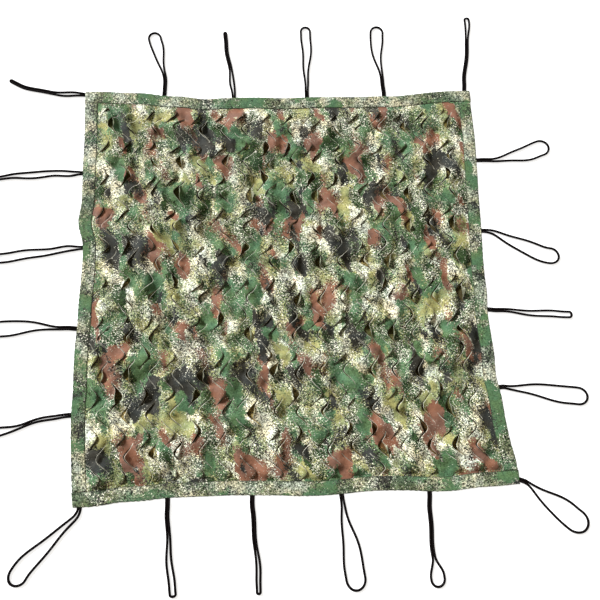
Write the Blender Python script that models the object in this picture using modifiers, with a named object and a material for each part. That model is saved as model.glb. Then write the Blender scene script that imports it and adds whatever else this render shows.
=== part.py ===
"""Camouflage net, 1.5 m square, laid out flat: a leaf-cut cloth, puffed up where it is cut, on a plain
backing cloth. Four folded strips bind the edges, and cord loops are sewn into them all round.

Metres, +Z up, and the edge nearest the viewer is at -Y. The cloth is worked out on a flat square, u to the
right and v away from the viewer. lay() then draws its edges in and out, as the cloth lies.
"""

import math

import bmesh
import bpy
from mathutils import Vector, noise

MM = 0.001

# Driving dimensions
SIDE = 1.500
BINDING_WIDTH = 0.050
CORD = 0.008
BINDING_CLOTH = 0.0010
BACKING_CLOTH = 0.0010
FIELD_CLOTH = 0.0012
GAP = 0.0003  # between pieces that touch

# Worked out from them
HALF = SIDE / 2
HEM_INSET = 0.004  # the raw edges of the two cloths, inside the binding's fold
FREE_INSET = BINDING_WIDTH + 0.003  # where the cloths come out of the binding
BACKING_Z = BINDING_CLOTH + GAP
FIELD_Z = BACKING_Z + BACKING_CLOTH + GAP
BINDING_TOP = FIELD_Z + FIELD_CLOTH + GAP + BINDING_CLOTH
STEPS = 20  # along each edge, as many as in EDGES' tables

# The corners, as x and y in mm from the middle
CORNERS = {
    "near_left": (-745, -752),
    "near_right": (760, -756),
    "far_right": (755, 750),
    "far_left": (-746, 779),
}

# The edges, anticlockwise seen from above. wander: how far an edge lies outside (+) or inside (-) the line
# between its corners, in mm at equal steps.
EDGES = {
    "near": {
        "first": "near_left",
        "last": "near_right",
        "wander": (0, -1, -9, -10, -15, -15, -14, -13, -9, -5, 1, 3, 1, -3, -2, 2, 9, 10, 4, 3, 0),
    },
    "right": {
        "first": "near_right",
        "last": "far_right",
        "wander": (
            0, 0, -12, -19, -23, -33, -30, -33, -35, -29, -29, -26, -21, -17, -14, -9, -5, -1, 0, 0, 0,
        ),
    },
    "far": {
        "first": "far_right",
        "last": "far_left",
        "wander": (
            0, -1, -6, -15, -23, -23, -26, -25, -25, -28, -30, -27, -27, -29, -33, -22, -18, -7, -5, 0, 0,
        ),
    },
    "left": {
        "first": "far_left",
        "last": "near_left",
        "wander": (0, 3, 2, 2, 4, 4, 5, 14, -3, -5, -1, 4, 6, 12, 14, 14, 17, 16, 12, 8, 0),
    },
}

# The leaf cuts: rows of < cuts, and half a row further on rows of > cuts, each arm midway between two others
CUT_COLUMNS = 16
CUT_ROWS = 10
CUT_PITCH_U = 0.086
CUT_PITCH_V = 0.134
CUT_ARM_U = 0.040
CUT_ARM_V = 0.050
CUT_SHIFT = 0.003  # how far a cut may lie from its place
# How far the cuts stand open: up to which share of them, the gap at the apex and the tongue's lift, in mm
CUT_KINDS = (
    {"share": 0.62, "gap": (5, 7), "lift": (2, 6)},
    {"share": 0.86, "gap": (8, 12), "lift": (7, 11)},
    {"share": 1.00, "gap": (14, 22), "lift": (12, 18)},
)
PUFF = 0.009  # how high the cut cloth stands off the backing, at most, before its tongues
PUFF_SIZE = 0.16  # from one puff to the next
PUFF_FADE = 0.060  # over which it comes down to the binding

# The cord loops, in mm. along: the exit's place from the middle of its edge of the flat square. out and
# aside: the loop's tip from the exit. heading: which way the tip points, in degrees from straight out. lead:
# how far the cord holds the direction in which it leaves. neck: the share of the loop whose two strands lie
# together. slit: how much they part near the exit all the same. eye: how much further apart they are at the
# widest, and tip: at the end. along, aside and heading are anticlockwise.
LOOP_COLUMNS = ("name", "edge", "along", "out", "aside", "heading", "lead", "neck", "slit", "eye", "tip")
LOOPS = (
    ("near_1", "near", -728, 223, -203, -25, 45, 0.15, 4, 40, 48),
    ("near_2", "near", -441, 301, 18, 8, 94, 0.35, 0, 14, 10),
    ("near_3", "near", -161, 302, 28, 0, 90, 0.55, 0, 12, 3),
    ("near_4", "near", 138, 301, 23, -2, 83, 0.05, 0, 54, 54),
    ("near_5", "near", 437, 296, 32, 14, 96, 0.70, 0, 36, 36),
    ("right_1", "right", -734, 215, -164, -34, 25, 0.20, 0, 66, 66),
    ("right_2", "right", -418, 301, -92, -18, 30, 0.12, 0, 50, 50),
    ("right_3", "right", -137, 308, -8, 2, 50, 0.25, 0, 17, 12),
    ("right_4", "right", 164, 284, -97, 0, 75, 0.02, 0, 50, 50),
    ("right_5", "right", 450, 285, 67, 21, 120, 0.12, 0, 52, 52),
    ("far_1", "far", -730, 327, -41, 1, 60, 0.72, 0, 9, 9),
    ("far_2", "far", -407, 307, 8, -14, 100, 0.27, 0, 40, 40),
    ("far_3", "far", -103, 309, -14, 3, 110, 0.05, 0, 28, 28),
    ("far_4", "far", 182, 287, 25, 0, 90, 0.60, 7, 0, 0),
    ("far_5", "far", 450, 264, 85, 17, 90, 0.33, 0, 38, 38),
    ("left_1", "left", -736, 287, -54, -31, 90, 0.80, 7, 0, 0),
    ("left_2", "left", -417, 305, 12, 8, 60, 0.00, 7, 22, 2),
    ("left_3", "left", -131, 302, 23, 4, 60, 0.00, 6, 24, 24),
    ("left_4", "left", 160, 304, 21, 16, 66, 0.24, 0, 44, 44),
    ("left_5", "left", 453, 299, 49, 2, 120, 0.48, 2, 22, 22),
)
STRAND_PITCH = 0.0086  # between the middles of two strands that lie together
SLIT_SHARE = 0.45  # of the loop, over which the strands part and come together again near the exit
TIP_ROUND = 0.0045  # the least length over which a loop's end closes
WAVER = 0.0018  # how far a loop strays to either side of its smooth course
WAVES = 2.1  # how often
LOOP_SHARES = (0.0, 0.04, 0.14, 0.28, 0.42, 0.56, 0.70, 0.85)  # a loop's points, up to where its end closes
END_TURNS = (0.0, 36.0, 66.0)  # and round its end, in degrees

# Colours (linear) and finish
FINISHES = {
    "field": {"colour": (0.105, 0.160, 0.075), "roughness": 0.75},
    "backing": {"colour": (0.055, 0.050, 0.022), "roughness": 0.80},
    "binding": {"colour": (0.150, 0.190, 0.110), "roughness": 0.72},
    "cord": {"colour": (0.010, 0.008, 0.008), "roughness": 0.60},
}


def between(low, high, share):
    return low + (high - low) * share


def eased(share):
    share = min(max(share, 0.0), 1.0)
    return share * share * (3 - 2 * share)


def spread(seed, column, row):
    """A number from 0 to 1 that is scattered over the cuts and always the same."""
    return math.modf(abs(math.sin(seed * 37.719 + column * 12.9898 + row * 78.233)) * 43758.5453)[0]


def curve_through(values, share):
    """The height at share (0 to 1) of a smooth curve through equally spaced values."""
    place = min(max(share, 0.0), 1.0) * (len(values) - 1)
    step = min(int(place), len(values) - 2)
    t = place - step
    before, start, end, after = (
        values[min(max(step + offset, 0), len(values) - 1)] for offset in (-1, 0, 1, 2)
    )
    slope = end - before
    bend = 2 * before - 5 * start + 4 * end - after
    twist = 3 * (start - end) + after - before
    return start + 0.5 * t * (slope + t * (bend + t * twist))


def edge_place(name, share):
    """A point of an edge before the whole is centred."""
    edge = EDGES[name]
    first, last = (Vector(CORNERS[edge[end]]) for end in ("first", "last"))
    along = (last - first).normalized()
    outward = Vector((along.y, -along.x))
    return (first.lerp(last, share) + outward * curve_through(edge["wander"], share)) * MM


def middle():
    """The middle of the box round the four edges."""
    points = [edge_place(name, step / STEPS) for name in EDGES for step in range(STEPS + 1)]
    return Vector([(min(p[axis] for p in points) + max(p[axis] for p in points)) / 2 for axis in (0, 1)])


MIDDLE = middle()


def edge_point(name, share):
    return edge_place(name, share) - MIDDLE


def lay(u, v):
    """Where a point of the flat square lies: blended from the four edges."""
    s, t = (u + HALF) / SIDE, (v + HALF) / SIDE
    across = edge_point("near", s).lerp(edge_point("far", 1 - s), t)
    along = edge_point("left", 1 - t).lerp(edge_point("right", t), s)
    near = edge_point("near", 0).lerp(edge_point("near", 1), s)
    far = edge_point("far", 1).lerp(edge_point("far", 0), s)
    return across + along - near.lerp(far, t)


def laid(u, v, z):
    place = lay(u, v)
    return Vector((place.x, place.y, z))


def turned(quarters, u, v):
    """(u, v) turned anticlockwise, from the near edge to the next ones."""
    for _ in range(quarters):
        u, v = -v, u
    return u, v


def steps_along(half_length):
    """Places along an edge: its even steps, the binding's inner corner, and the ends."""
    even = [-HALF + SIDE * step / STEPS for step in range(STEPS + 1)]
    inner = [-HALF + BINDING_WIDTH, HALF - BINDING_WIDTH]
    within = {round(place, 6) for place in even + inner if abs(place) < half_length - GAP}
    return sorted(within | {-half_length, half_length})


def edge_side(name, from_middle):
    """A point on the binding's outer side, at a distance from the edge's middle, and the side's direction."""
    places = steps_along(HALF)
    after = next(index for index, place in enumerate(places) if place > from_middle)
    start, end = (edge_point(name, (place + HALF) / SIDE) for place in places[after - 1 : after + 1])
    share = (from_middle - places[after - 1]) / (places[after] - places[after - 1])
    return start.lerp(end, share), (end - start).normalized()


def square_ring(bm, inset, z):
    """The vertices of a square ring, inset from the edge, laid out."""
    ring = []
    for quarters in range(4):
        for step in range(STEPS):
            along = (-1 + 2 * step / STEPS) * (HALF - inset)
            u, v = turned(quarters, along, -HALF + inset)
            ring.append(bm.verts.new(laid(u, v, z)))
    return ring


def bridge(bm, outer, inner):
    for index, vertex in enumerate(outer):
        after = (index + 1) % len(outer)
        bm.faces.new((vertex, outer[after], inner[after], inner[index]))


def material_for(name):
    finish = FINISHES[name]
    material = bpy.data.materials.new(name)
    material.use_nodes = True
    shader = material.node_tree.nodes["Principled BSDF"]
    shader.inputs["Base Color"].default_value = (*finish["colour"], 1.0)
    shader.inputs["Roughness"].default_value = finish["roughness"]
    material.diffuse_color = (*finish["colour"], 1.0)
    return material


def add_cloth(name, bm, thickness, offset, finish, collection):
    """An open surface given its thickness; offset 1 puts all of it above the surface."""
    mesh = bpy.data.meshes.new(name)
    bm.to_mesh(mesh)
    bm.free()
    cloth = bpy.data.objects.new(name, mesh)
    mesh.materials.append(material_for(finish))
    solidify = cloth.modifiers.new("Thickness", "SOLIDIFY")
    solidify.thickness = thickness
    solidify.offset = offset
    solidify.use_even_offset = offset == 0
    collection.objects.link(cloth)
    return cloth


def add_backing(collection):
    """The plain cloth underneath: held in the binding, and flat on the ground inside it."""
    bm = bmesh.new()
    hem = square_ring(bm, HEM_INSET, BACKING_Z)
    free = square_ring(bm, FREE_INSET, BACKING_Z)
    ground = square_ring(bm, FREE_INSET + 0.018, 0.0)
    bridge(bm, hem, free)
    bridge(bm, free, ground)
    bm.faces.new(ground)
    add_cloth("backing", bm, BACKING_CLOTH, 1, "backing", collection)


def cut_of(column, row, points_right):
    """One leaf cut: its apex, the way it points, and how it stands open."""
    seed = 7 if points_right else 0
    u = -((CUT_COLUMNS - 1) * CUT_PITCH_U + CUT_ARM_U) / 2 + column * CUT_PITCH_U
    v = (row - (CUT_ROWS - 1) / 2) * CUT_PITCH_V
    if points_right:
        u += CUT_PITCH_U / 2 + CUT_PITCH_V / 2 * CUT_ARM_U / CUT_ARM_V
        v += CUT_PITCH_V / 2
    u += between(-CUT_SHIFT, CUT_SHIFT, spread(seed + 1, column, row))
    v += between(-CUT_SHIFT, CUT_SHIFT, spread(seed + 2, column, row))
    chance = spread(seed + 3, column, row)
    kind = next(kind for kind in CUT_KINDS if chance <= kind["share"])
    return {
        "apex": (u, v),
        "inward": -1 if points_right else 1,
        "gap": between(*kind["gap"], spread(seed + 4, column, row)) * MM,
        "lift": between(*kind["lift"], spread(seed + 5, column, row)) * MM,
        "wide": kind is not CUT_KINDS[0],
    }


def all_cuts():
    for row in range(CUT_ROWS):
        for column in range(CUT_COLUMNS):
            yield cut_of(column, row, False)
    for row in range(CUT_ROWS - 1):
        for column in range(CUT_COLUMNS - 1):
            yield cut_of(column, row, True)


def cut_outline(cut):
    """The gap's corners, as (u, v, lift): the apex, an arm's end, the tongue's edge, the other end."""
    (u, v), inward = cut["apex"], cut["inward"]
    gap, lift = cut["gap"], cut["lift"]
    side = 0.5 * (CUT_ARM_U + 1.5 * gap)
    outline = [(u, v, 0.0), (u + inward * CUT_ARM_U, v + CUT_ARM_V, 0.0)]
    if cut["wide"]:
        outline.append((u + inward * side, v + CUT_ARM_V / 2, 0.6 * lift))
    outline.append((u + inward * gap, v, lift))
    if cut["wide"]:
        outline.append((u + inward * side, v - CUT_ARM_V / 2, 0.6 * lift))
    outline.append((u + inward * CUT_ARM_U, v - CUT_ARM_V, 0.0))
    return outline


def puff(u, v):
    """How far the cut cloth stands off the backing here."""
    bump = 0.5 + 0.9 * noise.noise(Vector((u / PUFF_SIZE, v / PUFF_SIZE, 3.7)))
    room = HALF - FREE_INSET - max(abs(u), abs(v))
    return PUFF * eased(bump) * eased(room / PUFF_FADE)


def add_field(collection):
    """The leaf-cut cloth on top, with every gap cut through and its tongue lifted."""
    bm = bmesh.new()
    hem = square_ring(bm, HEM_INSET, FIELD_Z)
    free = square_ring(bm, FREE_INSET, FIELD_Z)
    bridge(bm, hem, free)
    rims = [bm.edges.get((vertex, free[index - 1])) for index, vertex in enumerate(free)]
    heights = {}
    for cut in all_cuts():
        loop = []
        for u, v, lift in cut_outline(cut):
            vertex = bm.verts.new(laid(u, v, FIELD_Z))
            heights[vertex] = FIELD_Z + puff(u, v) + lift
            loop.append(vertex)
        rims += [bm.edges.new((vertex, loop[index - 1])) for index, vertex in enumerate(loop)]
    bmesh.ops.triangle_fill(bm, use_beauty=True, edges=rims, normal=(0, 0, 1))
    for vertex, height in heights.items():
        vertex.co.z = height
    bmesh.ops.recalc_face_normals(bm, faces=bm.faces)
    if sum(face.normal.z for face in bm.faces) < 0:
        bmesh.ops.reverse_faces(bm, faces=bm.faces)
    add_cloth("field", bm, FIELD_CLOTH, 1, "field", collection)


def add_binding(quarters, edge, collection):
    """A strip folded round one edge, both legs flat. The near and far ones run right across."""
    bm = bmesh.new()
    wall = BINDING_CLOTH / 2
    low, high = wall, BINDING_TOP - wall
    section = ((BINDING_WIDTH, low), (wall, low), (wall, high), (BINDING_WIDTH, high))
    half_length = HALF if quarters % 2 == 0 else HALF - BINDING_WIDTH - GAP
    rows = []
    for along in steps_along(half_length):
        places = (turned(quarters, along, -HALF + inset) + (z,) for inset, z in section)
        rows.append([bm.verts.new(laid(*place)) for place in places])
    for first, second in zip(rows, rows[1:]):
        for index in range(len(section) - 1):
            bm.faces.new((first[index], first[index + 1], second[index + 1], second[index]))
    add_cloth("binding_" + edge, bm, BINDING_CLOTH, 0, "binding", collection)


def loop_route(loop, number):
    """The middle of a loop's cord, from one strand's exit round to the other's, as (out, aside) in metres."""
    tip = Vector((loop["out"], loop["aside"])) * MM
    heading = math.radians(loop["heading"])
    reach = tip.length
    hold = tip - 0.35 * reach * Vector((math.cos(heading), math.sin(heading)))
    lead = Vector((loop["lead"] * MM, 0))
    closing = 1 - max(0.62 * loop["tip"] * MM, TIP_ROUND) / reach
    places = [(share * closing, 1.0) for share in LOOP_SHARES]
    for turn in map(math.radians, END_TURNS):
        places.append((closing + (1 - closing) * math.sin(turn), math.cos(turn)))
    one, other = [], []
    for t, narrowing in places:
        centre = 3 * (1 - t) ** 2 * t * lead + 3 * (1 - t) * t**2 * hold + t**3 * tip
        ahead = (1 - t) ** 2 * lead + 2 * (1 - t) * t * (hold - lead) + t**2 * (tip - hold)
        aside = Vector((-ahead.y, ahead.x)).normalized()
        held = eased(t / 0.2) * eased((1 - t) / 0.2)
        centre += aside * WAVER * held * math.sin(math.tau * (WAVES * t + 0.37 * number))
        widest = between(loop["eye"], loop["tip"], eased((t / closing - 0.5) / 0.5))
        apart = widest * eased((t - loop["neck"]) / (closing - loop["neck"]) * 1.15)
        apart += loop["slit"] * math.sin(math.pi * min(t / SLIT_SHARE, 1.0)) ** 2
        offset = (STRAND_PITCH + apart * MM) / 2 * narrowing
        one.append(centre + aside * offset)
        other.append(centre - aside * offset)
    return [*one, tip, *reversed(other)]


def end_room(loop, route):
    """How far a loop stands off the binding, so that its square ends clear it also at a slant or a bend."""
    exit_point, along = edge_side(loop["edge"], loop["along"] * MM)
    outward = Vector((along.y, -along.x))
    room = 0.0
    for first, second in (route[:2], route[:-3:-1]):
        way = (second - first).normalized()
        for side in (-1, 1):
            corner = first + Vector((-way.y, way.x)) * side * CORD / 2
            beside, _ = edge_side(loop["edge"], loop["along"] * MM + corner.y)
            room = max(room, (beside - exit_point).dot(outward) - corner.x)
    return room + GAP


def add_loop(loop, number, collection):
    """A loop of cord lying flat on the ground, its two ends against the binding."""
    exit_point, along = edge_side(loop["edge"], loop["along"] * MM)
    outward = Vector((along.y, -along.x))
    route = loop_route(loop, number)
    room = end_room(loop, route)
    points = [exit_point + outward * (out + room) + along * aside for out, aside in route]
    curve = bpy.data.curves.new("cord_" + loop["name"], "CURVE")
    curve.dimensions = "3D"
    curve.bevel_depth = CORD / 2
    curve.bevel_resolution = 2
    curve.use_fill_caps = True
    spline = curve.splines.new("POLY")
    spline.points.add(len(points) - 1)
    for point, place in zip(spline.points, points):
        point.co = (place.x, place.y, CORD / 2, 1.0)
    curve.materials.append(material_for("cord"))
    cord = bpy.data.objects.new("cord_" + loop["name"], curve)
    collection.objects.link(cord)


def clear_scene():
    for old in list(bpy.data.objects):
        bpy.data.objects.remove(old, do_unlink=True)


def main():
    clear_scene()
    net = bpy.data.collections.new("camouflage net")
    bpy.context.scene.collection.children.link(net)
    add_backing(net)
    add_field(net)
    for quarters, edge in enumerate(EDGES):
        add_binding(quarters, edge, net)
    for number, row in enumerate(LOOPS):
        add_loop(dict(zip(LOOP_COLUMNS, row)), number, net)


main()
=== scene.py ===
"""Looks of the camouflage net: the printed cloth with its leaf cuts, the backing under it, the folded and
stitched binding, the cord loops, and the floor, light and camera.

Metres, +Z up. u and v are places on the flat square, as in the solids' own source, and lay() draws them in
and out as the cloth lies. CORNERS, EDGES and LOOPS repeat the tables that the solids were made from.
"""

import math

import bpy
import numpy as np
from mathutils import Euler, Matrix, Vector, noise
from mathutils.geometry import delaunay_2d_cdt
from mathutils.kdtree import KDTree


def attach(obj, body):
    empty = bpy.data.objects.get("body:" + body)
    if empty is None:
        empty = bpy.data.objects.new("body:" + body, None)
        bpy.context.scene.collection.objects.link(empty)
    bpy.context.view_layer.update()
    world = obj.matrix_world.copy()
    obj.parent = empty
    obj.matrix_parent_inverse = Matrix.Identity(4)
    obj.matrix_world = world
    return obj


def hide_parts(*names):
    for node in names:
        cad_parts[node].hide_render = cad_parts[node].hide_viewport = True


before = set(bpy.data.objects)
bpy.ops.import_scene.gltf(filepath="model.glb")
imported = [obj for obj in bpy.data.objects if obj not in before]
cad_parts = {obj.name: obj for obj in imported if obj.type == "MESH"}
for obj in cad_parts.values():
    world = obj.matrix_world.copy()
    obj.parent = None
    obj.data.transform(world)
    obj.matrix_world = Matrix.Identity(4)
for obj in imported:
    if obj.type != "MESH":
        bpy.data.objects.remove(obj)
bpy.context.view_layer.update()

MM = 0.001

# The view, worked out from the photo's four edges. Angles are in radians.
CAMERA_PLACE = (-0.0755, -0.5640, 2.1118)
CAMERA_PAN = -0.2371
CAMERA_TILT = 0.2296
CAMERA_ROLL = 0.1923
CAMERA_LENS = 36.0
CAMERA_SENSOR = 36.0

# Driving dimensions, as in the solids
SIDE = 1.500
HALF = SIDE / 2
BINDING_WIDTH = 0.050
CORD = 0.008
GAP = 0.0003  # between pieces that touch
HEM_INSET = 0.004  # the raw edges of the two cloths, inside the binding's fold
FREE_INSET = BINDING_WIDTH + 0.003  # where the cloths come out of the binding
BACKING_Z = 0.0013
FIELD_Z = 0.0026
STEPS = 20  # along each edge

# The corners, as x and y in mm from the middle
CORNERS = {
    "near_left": (-745, -752),
    "near_right": (760, -756),
    "far_right": (755, 750),
    "far_left": (-746, 779),
}
# The edges, anticlockwise seen from above: the corners that each joins, and how far it lies outside (+) or
# inside (-) the line between them, in mm at equal steps
EDGES = {
    "near": (
        ("near_left", "near_right"),
        (0, -1, -9, -10, -15, -15, -14, -13, -9, -5, 1, 3, 1, -3, -2, 2, 9, 10, 4, 3, 0),
    ),
    "right": (
        ("near_right", "far_right"),
        (0, 0, -12, -19, -23, -33, -30, -33, -35, -29, -29, -26, -21, -17, -14, -9, -5, -1, 0, 0, 0),
    ),
    "far": (
        ("far_right", "far_left"),
        (0, -1, -6, -15, -23, -23, -26, -25, -25, -28, -30, -27, -27, -29, -33, -22, -18, -7, -5, 0, 0),
    ),
    "left": (
        ("far_left", "near_left"),
        (0, 3, 2, 2, 4, 4, 5, 14, -3, -5, -1, 4, 6, 12, 14, 14, 17, 16, 12, 8, 0),
    ),
}

# The leaf cuts: rows of < cuts, and half a row further on rows of > cuts, on the solids' lattice
CUT_COLUMNS = 16
CUT_ROWS = 10
CUT_PITCH_U = 0.086
CUT_PITCH_V = 0.134
CUT_ARM_U = 0.040
CUT_ARM_V = 0.050
CUT_ROUND = 0.24  # how round the apex is, as a share of an arm's height
CUT_SHIFT = 0.003  # how far a cut may lie from its place
PUFF = 0.009  # how high the cut cloth stands off the backing, apart from its swells
PUFF_SIZE = 0.16  # from one puff to the next
PUFF_FADE = 0.060  # over which it comes down to the binding

# The cord loops, in mm. along: the exit's place from the middle of its edge of the flat square. out and
# aside: the loop's tip from the exit. heading: which way the tip points, in degrees from straight out. lead:
# how far the cord holds the direction in which it leaves. neck: the share of the loop whose two strands lie
# together. slit: how much they part near the exit all the same. eye: how much further apart they are at the
# widest, and tip: at the end. along, aside and heading are anticlockwise.
LOOP_COLUMNS = ("name", "edge", "along", "out", "aside", "heading", "lead", "neck", "slit", "eye", "tip")
LOOPS = (
    ("near_1", "near", -728, 223, -203, -25, 45, 0.15, 4, 40, 48),
    ("near_2", "near", -441, 301, 18, 8, 94, 0.35, 0, 14, 10),
    ("near_3", "near", -161, 302, 28, 0, 90, 0.55, 0, 12, 3),
    ("near_4", "near", 138, 301, 23, -2, 83, 0.05, 0, 54, 54),
    ("near_5", "near", 437, 296, 32, 14, 96, 0.70, 0, 36, 36),
    ("right_1", "right", -734, 215, -164, -34, 25, 0.20, 0, 66, 66),
    ("right_2", "right", -418, 301, -92, -18, 30, 0.12, 0, 50, 50),
    ("right_3", "right", -137, 308, -8, 2, 50, 0.25, 0, 17, 12),
    ("right_4", "right", 164, 284, -97, 0, 75, 0.02, 0, 50, 50),
    ("right_5", "right", 450, 285, 67, 21, 120, 0.12, 0, 52, 52),
    ("far_1", "far", -730, 327, -41, 1, 60, 0.72, 0, 9, 9),
    ("far_2", "far", -407, 307, 8, -14, 100, 0.27, 0, 40, 40),
    ("far_3", "far", -103, 309, -14, 3, 110, 0.05, 0, 28, 28),
    ("far_4", "far", 182, 287, 25, 0, 90, 0.60, 7, 0, 0),
    ("far_5", "far", 450, 264, 85, 17, 90, 0.33, 0, 38, 38),
    ("left_1", "left", -736, 287, -54, -31, 90, 0.80, 7, 0, 0),
    ("left_2", "left", -417, 305, 12, 8, 60, 0.00, 7, 22, 2),
    ("left_3", "left", -131, 302, 23, 4, 60, 0.00, 6, 24, 24),
    ("left_4", "left", 160, 304, 21, 16, 66, 0.24, 0, 44, 44),
    ("left_5", "left", 453, 299, 49, 2, 120, 0.48, 2, 22, 22),
)
STRAND_PITCH = 0.0086  # between the middles of two strands that lie together
SLIT_SHARE = 0.45  # of the loop, over which its slit opens and closes
TIP_HOLD = 0.35  # the last share of its reach, over which a loop turns into its heading
TIP_CLOSING = 0.62  # the length over which its end closes, as a share of its width there
TIP_ROUND = 0.0045  # and at least this
WIDENING = 1.15  # how fast its strands part
WAVER = 0.0018  # how far a loop strays from its smooth course
WAVES = 2.1  # how often
WAVE_FADE = 0.2  # the share of the loop over which this begins and ends
WAVE_SHIFT = 0.37  # from one loop's waves to the next one's
STRAND_POINTS = 48  # along each strand
END_POINTS = 18  # and on from there to the tip

# Fine sizes that only the looks need
CORD_SIDES = 12
CORD_STEP = 0.002  # from one ring of a cord's mesh to the next
CORD_SEATED = 0.004  # how far a cord's ends reach into the binding's fold
CORD_PRESSED = 0.55  # its height there, as a share of its thickness
CORD_RISING = 0.020  # over which it comes back to its full height
BRAID = 0.0086  # how thick the loose braid looks round the cord
BRAID_LAY = 0.0034  # along the cord, from one crossing of its strands to the next
BRAID_STRANDS = 3.0  # round the cord, each way
THREAD = 0.0004  # the sewing thread's radius
THREAD_SIDES = 6
STITCH_PITCH = 0.0042
STITCH_LENGTH = 0.0034
STITCH_INSET = BINDING_WIDTH - 0.003
STITCH_HEIGHT = 0.00395  # of the cloth's middle there
BINDING_CLOTH = 0.0008
BINDING_STEP = 0.004  # between the points of its mesh, along the edge
RIPPLE, RIPPLE_SIZE = 0.0011, 0.034  # its soft ripples
PUCKER, PUCKER_SIZE = 0.0005, 0.009  # and the puckers by its stitches
PUCKER_PLACE, PUCKER_SPREAD = 0.86, 0.16  # across it, as shares of its width
FOLD_WANDER = 0.0020  # how far its fold comes inward
FOLD_WIDTH = 0.016  # over which this fades
FIELD_CLOTH = 0.0007
BACKING_CLOTH = 0.0008
BACKING_POINTS = 70  # along each side of its mesh
BACKING_RISE = 0.018  # over which it comes up to the binding
CLOTH_STEP = 0.0118  # between the points of the leaf-cut cloth's mesh
ROW_SHARE = 0.866  # between its rows, as a share of that
CROWDED = 0.6  # steps: a filling point nearer than this to another is left out
CUT_STEPS = 9  # along each arm
SWELL = 0.0060  # how high the cloth stands on top of its puffs
SWELLS, SWELLS_SIZE = 0.0220, 0.045  # and how far it rises and falls there
CREASES, CREASES_SIZE = 0.0070, 0.020  # the same for finer creases
TALLEST = 0.028  # what would stand higher is pressed down
PRESSED = 0.7  # by this share of what is over
SWELL_FADE = 0.02  # over which its swells come down to the binding
HELD_FLAT = 0.001  # right beside the binding the cloth is held down
HELD_FADE = 0.016  # and is let go over this
LOWEST = 0.0009  # how far below where it lies flat it may sink
RUMPLE, RUMPLE_SIZE = 0.012, 0.12  # how far the cloth is drawn aside inside its binding
RUMPLE_FADE = 0.08


# ---- where things lie


def eased(share):
    share = np.clip(share, 0.0, 1.0)
    return share * share * (3 - 2 * share)


def spread(seed, column, row):
    """A number from 0 to 1, scattered over the cuts and always the same."""
    return math.modf(abs(math.sin(seed * 37.719 + column * 12.9898 + row * 78.233)) * 43758.5453)[0]


def between(low, high, share):
    return low + (high - low) * share


def curve_through(values, share):
    """The height at share (0 to 1) of a smooth curve through equally spaced values."""
    values = np.asarray(values, float)
    place = np.clip(share, 0.0, 1.0) * (len(values) - 1)
    step = np.minimum(place.astype(int), len(values) - 2)
    t = place - step
    before, start, end, after = (
        values[np.clip(step + offset, 0, len(values) - 1)] for offset in (-1, 0, 1, 2)
    )
    slope = end - before
    bend = 2 * before - 5 * start + 4 * end - after
    twist = 3 * (start - end) + after - before
    return start + 0.5 * t * (slope + t * (bend + t * twist))


def edge_places(name, share):
    """Where points of one edge lie, each at a share of its length."""
    corners, wander = EDGES[name]
    share = np.atleast_1d(np.asarray(share, float))
    first, last = (np.array(CORNERS[corner], float) for corner in corners)
    along = (last - first) / np.linalg.norm(last - first)
    outward = np.array((along[1], -along[0]))
    out = curve_through(wander, share)
    return (first + (last - first) * share[:, None] + outward * out[:, None]) * MM


def middle():
    points = np.concatenate([edge_places(name, np.arange(STEPS + 1) / STEPS) for name in EDGES])
    return (points.min(axis=0) + points.max(axis=0)) / 2


MIDDLE = middle()


def lay(u, v):
    """Where points of the flat square lie: blended from the four edges."""
    u, v = np.broadcast_arrays(np.asarray(u, float), np.asarray(v, float))
    s, t = (u.ravel() + HALF) / SIDE, (v.ravel() + HALF) / SIDE
    corner = {name: np.array(place, float) * MM for name, place in CORNERS.items()}
    s2, t2 = s[:, None], t[:, None]
    across = edge_places("near", s) * (1 - t2) + edge_places("far", 1 - s) * t2
    along = edge_places("left", 1 - t) * (1 - s2) + edge_places("right", t) * s2
    near = corner["near_left"] * (1 - s2) + corner["near_right"] * s2
    far = corner["far_left"] * (1 - s2) + corner["far_right"] * s2
    return across + along - (near * (1 - t2) + far * t2) - MIDDLE


def turned(quarters, u, v):
    """A place by the near edge, taken round to another edge."""
    for _ in range(quarters):
        u, v = -v, u
    return u, v


# Where the bindings' solids have their sections, along each edge
BUTTED = HALF - BINDING_WIDTH
STATIONS = {round(-HALF + SIDE * step / STEPS, 6) for step in range(STEPS + 1)}
STATIONS = np.array(sorted(STATIONS | {round(-BUTTED, 6), round(BUTTED, 6)}))


def strip_places(quarters, along, inset):
    """Places on a binding: straight between its stations, as its solid is."""
    along, inset = np.broadcast_arrays(np.asarray(along, float), np.asarray(inset, float))
    along, inset = along.ravel(), inset.ravel()
    after = np.clip(np.searchsorted(STATIONS, along, side="right"), 1, len(STATIONS) - 1)
    start, end = (lay(*turned(quarters, STATIONS[k], -HALF + inset)) for k in (after - 1, after))
    share = (along - STATIONS[after - 1]) / (STATIONS[after] - STATIONS[after - 1])
    return start + (end - start) * share[:, None]


def bumps(u, v, size, seed):
    """A smooth random number from about -1 to 1 at each place, with bumps of that size."""
    pairs = zip(np.ravel(u) / size, np.ravel(v) / size)
    return np.array([noise.noise(Vector((a, b, seed))) for a, b in pairs])


# ---- meshes


def add_mesh(name, points, faces, materials, attributes=()):
    """An object from points and faces. attributes: name and a number or vector for each point."""
    mesh = bpy.data.meshes.new(name)
    mesh.from_pydata(np.asarray(points).tolist(), [], faces)
    mesh.shade_smooth()
    for key, values in attributes:
        values = np.asarray(values, np.float32)
        kind, field = ("FLOAT", "value") if values.ndim == 1 else ("FLOAT_VECTOR", "vector")
        mesh.attributes.new(key, kind, "POINT").data.foreach_set(field, values.ravel())
    for material in materials:
        mesh.materials.append(material)
    piece = bpy.data.objects.new(name, mesh)
    bpy.context.scene.collection.objects.link(piece)
    return piece


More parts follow.
